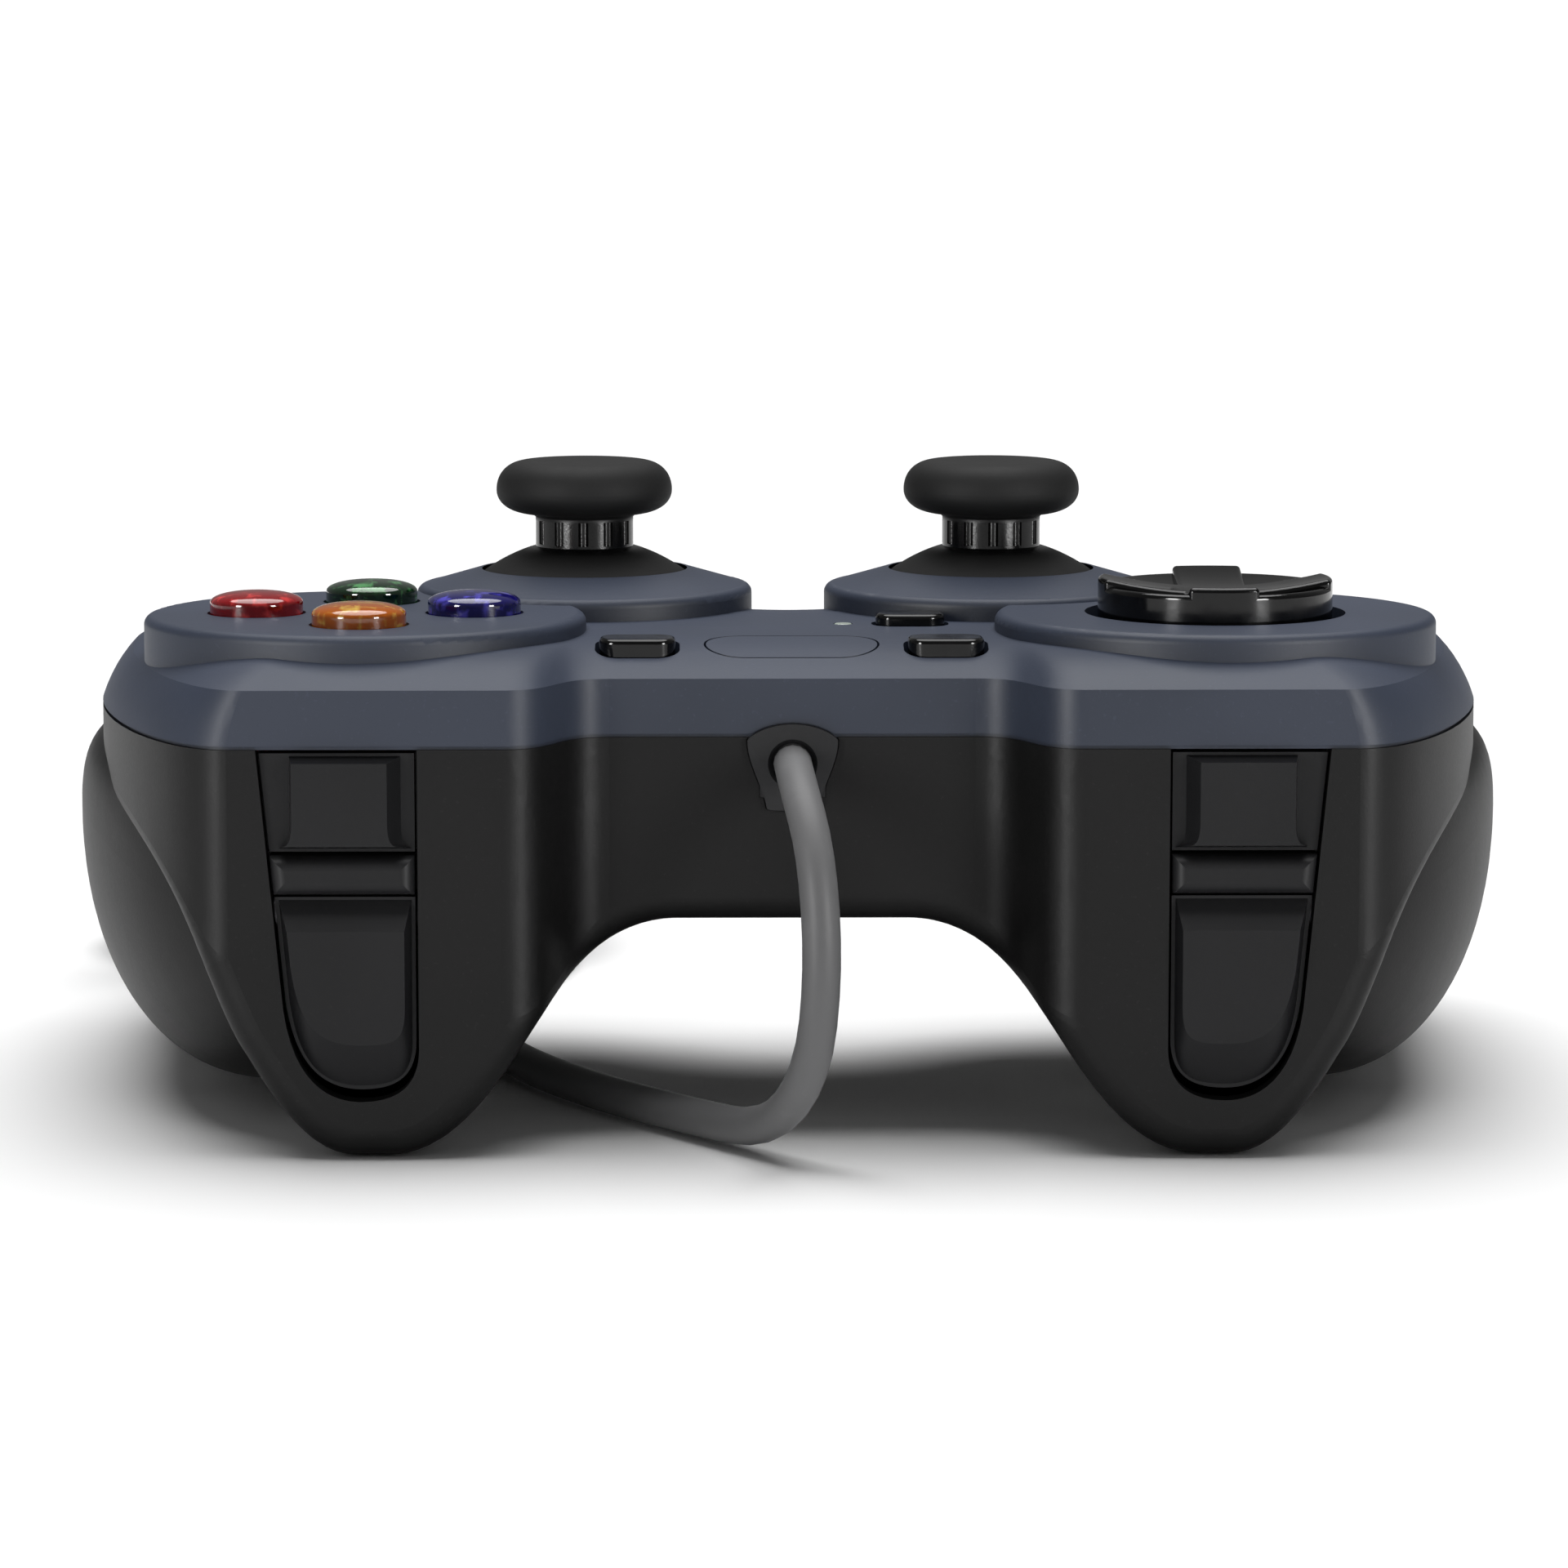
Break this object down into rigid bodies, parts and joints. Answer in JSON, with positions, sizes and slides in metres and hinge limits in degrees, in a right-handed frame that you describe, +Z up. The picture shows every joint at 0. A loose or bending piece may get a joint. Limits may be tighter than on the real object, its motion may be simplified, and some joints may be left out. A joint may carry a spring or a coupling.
{
  "type": "gamepad controller",
  "caption": "Wired two-handed gamepad with twin thumb sticks, direction pad, coloured face buttons, shoulder buttons, triggers and a coiled cable",
  "frame": {"origin": "centre of the bottom of the body's bounding box, on the table the lobes and grips rest on, without the cable", "axes": "+Z up out of the face with the sticks, -Y towards the cable and shoulder buttons, +Y towards the player, +X the side of the direction pad"},
  "size_m": [0.1628, 0.1801, 0.0678],
  "materials": {
    "blue_shell": "satin",
    "black_shell": "satin",
    "black_button": "glossy",
    "grey_button": "satin",
    "badge": "satin",
    "rubber": "matt",
    "red_button": "glossy",
    "green_button": "glossy",
    "amber_button": "glossy",
    "blue_button": "glossy",
    "light_pipe": "clear",
    "circuit_board": "satin",
    "chip": "matt",
    "ribbon": "matt",
    "dome_sheet": "matt",
    "inner_plastic": "matt",
    "dark_plastic": "matt",
    "steel": "bright",
    "cable": "satin",
    "grommet": "matt",
    "plug_body": "satin",
    "plug_shell": "bright",
    "plug_tongue": "matt"
  },
  "bodies": {
    "body": {"badge_plate": "badge", "board_ribbon": "ribbon", "board_screws": "steel", "bottom_shell": "black_shell", "button_board": "circuit_board", "cable_coil": "cable", "cable_connector": "inner_plastic", "cable_grommet": "grommet", "cable_inner": "cable", "cable_lead": "cable", "cable_tail": "cable", "case_screws": "steel", "centre_button_membrane": "dome_sheet", "controller_chip": "chip", "dpad_membrane": "dome_sheet", "dpad_post": "inner_plastic", "face_button_membrane": "dome_sheet", "left_shoulder_bezel": "dark_plastic", "left_shoulder_board": "circuit_board", "left_shoulder_switches": "dark_plastic", "left_stick_click_switch": "dark_plastic", "left_stick_frame": "steel", "left_stick_potentiometers": "inner_plastic", "main_board": "circuit_board", "plug_body": "plug_body", "plug_shell": "plug_shell", "plug_tongue": "plug_tongue", "right_shoulder_bezel": "dark_plastic", "right_shoulder_board": "circuit_board", "right_shoulder_switches": "dark_plastic", "right_stick_click_switch": "dark_plastic", "right_stick_frame": "steel", "right_stick_potentiometers": "inner_plastic", "status_light": "light_pipe", "top_shell": "blue_shell", "trigger_pins": "steel", "trigger_springs": "steel"},
    "green_button": {"green_button": "green_button"},
    "amber_button": {"amber_button": "amber_button"},
    "red_button": {"red_button": "red_button"},
    "blue_button": {"blue_button": "blue_button"},
    "start_button": {"start_button": "grey_button"},
    "back_button": {"back_button": "grey_button"},
    "mode_button": {"mode_button": "grey_button"},
    "dpad_ring": {"dpad_pivot": "inner_plastic"},
    "dpad": {"dpad": "black_button"},
    "left_bumper": {"left_bumper": "black_button"},
    "left_trigger": {"left_trigger": "black_button"},
    "left_lower_yoke": {"left_lower_yoke": "inner_plastic"},
    "left_stick_pivot": {"left_stick_pivot": "inner_plastic"},
    "left_stick": {"left_stick_shaft": "inner_plastic", "left_stick_cap": "rubber"},
    "left_upper_yoke": {"left_upper_yoke": "steel"},
    "right_bumper": {"right_bumper": "black_button"},
    "right_trigger": {"right_trigger": "black_button"},
    "right_lower_yoke": {"right_lower_yoke": "inner_plastic"},
    "right_stick_pivot": {"right_stick_pivot": "inner_plastic"},
    "right_stick": {"right_stick_shaft": "inner_plastic", "right_stick_cap": "rubber"},
    "right_upper_yoke": {"right_upper_yoke": "steel"}
  },
  "joints": [
    {"name": "green_press", "type": "slide", "parent": "body", "child": "green_button", "axis": [0, 0, -1], "range_m": [0, 0.0015], "stiffness_N_per_m": 700},
    {"name": "amber_press", "type": "slide", "parent": "body", "child": "amber_button", "axis": [0, 0, -1], "range_m": [0, 0.0015], "stiffness_N_per_m": 700},
    {"name": "red_press", "type": "slide", "parent": "body", "child": "red_button", "axis": [0, 0, -1], "range_m": [0, 0.0015], "stiffness_N_per_m": 700},
    {"name": "blue_press", "type": "slide", "parent": "body", "child": "blue_button", "axis": [0, 0, -1], "range_m": [0, 0.0015], "stiffness_N_per_m": 700},
    {"name": "start_press", "type": "slide", "parent": "body", "child": "start_button", "axis": [0, 0, -1], "range_m": [0, 0.0009], "stiffness_N_per_m": 900},
    {"name": "back_press", "type": "slide", "parent": "body", "child": "back_button", "axis": [0, 0, -1], "range_m": [0, 0.0009], "stiffness_N_per_m": 900},
    {"name": "mode_press", "type": "slide", "parent": "body", "child": "mode_button", "axis": [0, 0, -1], "range_m": [0, 0.0009], "stiffness_N_per_m": 900},
    {"name": "dpad_tilt_sideways", "type": "hinge", "parent": "body", "child": "dpad_ring", "pos_m": [0.0453, -0.022, 0.0486], "axis": [1, 0, 0], "range_deg": [-4.5, 4.5], "stiffness_Nm_per_rad": 0.19},
    {"name": "dpad_tilt_along", "type": "hinge", "parent": "dpad_ring", "child": "dpad", "pos_m": [0.0453, -0.022, 0.0486], "axis": [0, 1, 0], "range_deg": [-4.5, 4.5], "stiffness_Nm_per_rad": 0.19},
    {"name": "left_bumper_press", "type": "slide", "parent": "body", "child": "left_bumper", "axis": [0, 1, 0], "range_m": [0, 0.0012], "stiffness_N_per_m": 1700},
    {"name": "left_trigger_pull", "type": "hinge", "parent": "body", "child": "left_trigger", "pos_m": [0.0465, -0.0452, 0.025], "axis": [1, 0, 0], "range_deg": [0, 12], "stiffness_Nm_per_rad": 0.13},
    {"name": "left_stick_tilt_along", "type": "hinge", "parent": "body", "child": "left_lower_yoke", "pos_m": [0.0225, 0.003, 0.0403], "axis": [1, 0, 0], "range_deg": [-13, 13], "stiffness_Nm_per_rad": 0.05},
    {"name": "left_stick_tilt_sideways", "type": "hinge", "parent": "left_lower_yoke", "child": "left_stick_pivot", "pos_m": [0.0225, 0.003, 0.0403], "axis": [0, 1, 0], "range_deg": [-13, 13], "stiffness_Nm_per_rad": 0.05},
    {"name": "left_stick_click", "type": "slide", "parent": "left_stick_pivot", "child": "left_stick", "axis": [0, 0, -1], "range_m": [0, 0.0005], "stiffness_N_per_m": 8000},
    {"name": "left_upper_yoke_turn", "type": "hinge", "parent": "body", "child": "left_upper_yoke", "pos_m": [0.0225, 0.003, 0.0403], "axis": [0, 1, 0], "range_deg": [-13, 13]},
    {"name": "right_bumper_press", "type": "slide", "parent": "body", "child": "right_bumper", "axis": [0, 1, 0], "range_m": [0, 0.0012], "stiffness_N_per_m": 1700},
    {"name": "right_trigger_pull", "type": "hinge", "parent": "body", "child": "right_trigger", "pos_m": [-0.0465, -0.0452, 0.025], "axis": [1, 0, 0], "range_deg": [0, 12], "stiffness_Nm_per_rad": 0.13},
    {"name": "right_stick_tilt_along", "type": "hinge", "parent": "body", "child": "right_lower_yoke", "pos_m": [-0.0225, 0.003, 0.0403], "axis": [1, 0, 0], "range_deg": [-13, 13], "stiffness_Nm_per_rad": 0.05},
    {"name": "right_stick_tilt_sideways", "type": "hinge", "parent": "right_lower_yoke", "child": "right_stick_pivot", "pos_m": [-0.0225, 0.003, 0.0403], "axis": [0, 1, 0], "range_deg": [-13, 13], "stiffness_Nm_per_rad": 0.05},
    {"name": "right_stick_click", "type": "slide", "parent": "right_stick_pivot", "child": "right_stick", "axis": [0, 0, -1], "range_m": [0, 0.0005], "stiffness_N_per_m": 8000},
    {"name": "right_upper_yoke_turn", "type": "hinge", "parent": "body", "child": "right_upper_yoke", "pos_m": [-0.0225, 0.003, 0.0403], "axis": [0, 1, 0], "range_deg": [-13, 13]}
  ],
  "couplings": [
    {"joint": "left_upper_yoke_turn", "follows": "left_stick_tilt_sideways", "ratio": 1},
    {"joint": "right_upper_yoke_turn", "follows": "right_stick_tilt_sideways", "ratio": 1}
  ]
}
